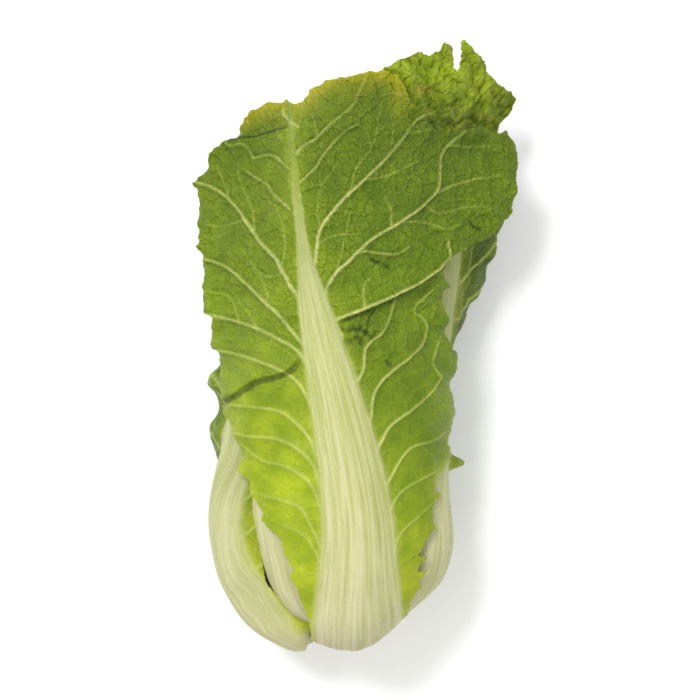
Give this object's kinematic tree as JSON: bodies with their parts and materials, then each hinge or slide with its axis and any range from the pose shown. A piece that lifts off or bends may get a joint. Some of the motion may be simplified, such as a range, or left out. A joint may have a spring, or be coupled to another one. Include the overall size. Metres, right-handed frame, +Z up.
{
  "type": "napa cabbage",
  "caption": "Head of napa cabbage lying on its side, broad white ribs and crinkled green leaves wrapped around a pale heart.",
  "frame": {"origin": "centre of the footprint, on the surface the head lies on", "axes": "+Z up from the surface, +Y along the head from the cut base to the leaf tips, +X to the right when looking along +Y"},
  "size_m": [0.1716, 0.3206, 0.1078],
  "materials": {
    "front_leaf": "fresh leaf, waxy satin, bright yellow-green blade and near-white rib",
    "side_leaves": "fresh leaf, waxy satin, darker green blade and white rib",
    "under_leaves": "fresh leaf, satin, light green blade and white rib",
    "inner_leaves": "fresh leaf, satin, pale yellow",
    "heart": "fresh leaf, satin, yellow",
    "stem": "cut stem, moist satin, cream with tan edge"
  },
  "bodies": {
    "root": {"front_leaf": "front_leaf", "right_leaf": "side_leaves", "left_leaf": "side_leaves", "back_leaf": "side_leaves", "outer_leaf_1": "under_leaves", "outer_leaf_2": "under_leaves", "outer_leaf_3": "under_leaves", "outer_leaf_4": "under_leaves", "outer_leaf_5": "under_leaves", "inner_leaf_1": "inner_leaves", "inner_leaf_2": "inner_leaves", "inner_leaf_3": "inner_leaves", "inner_leaf_4": "inner_leaves", "inner_leaf_5": "inner_leaves", "inner_leaf_6": "inner_leaves", "inner_leaf_7": "inner_leaves", "inner_leaf_8": "inner_leaves", "heart": "heart", "stem": "stem"}
  },
  "joints": []
}
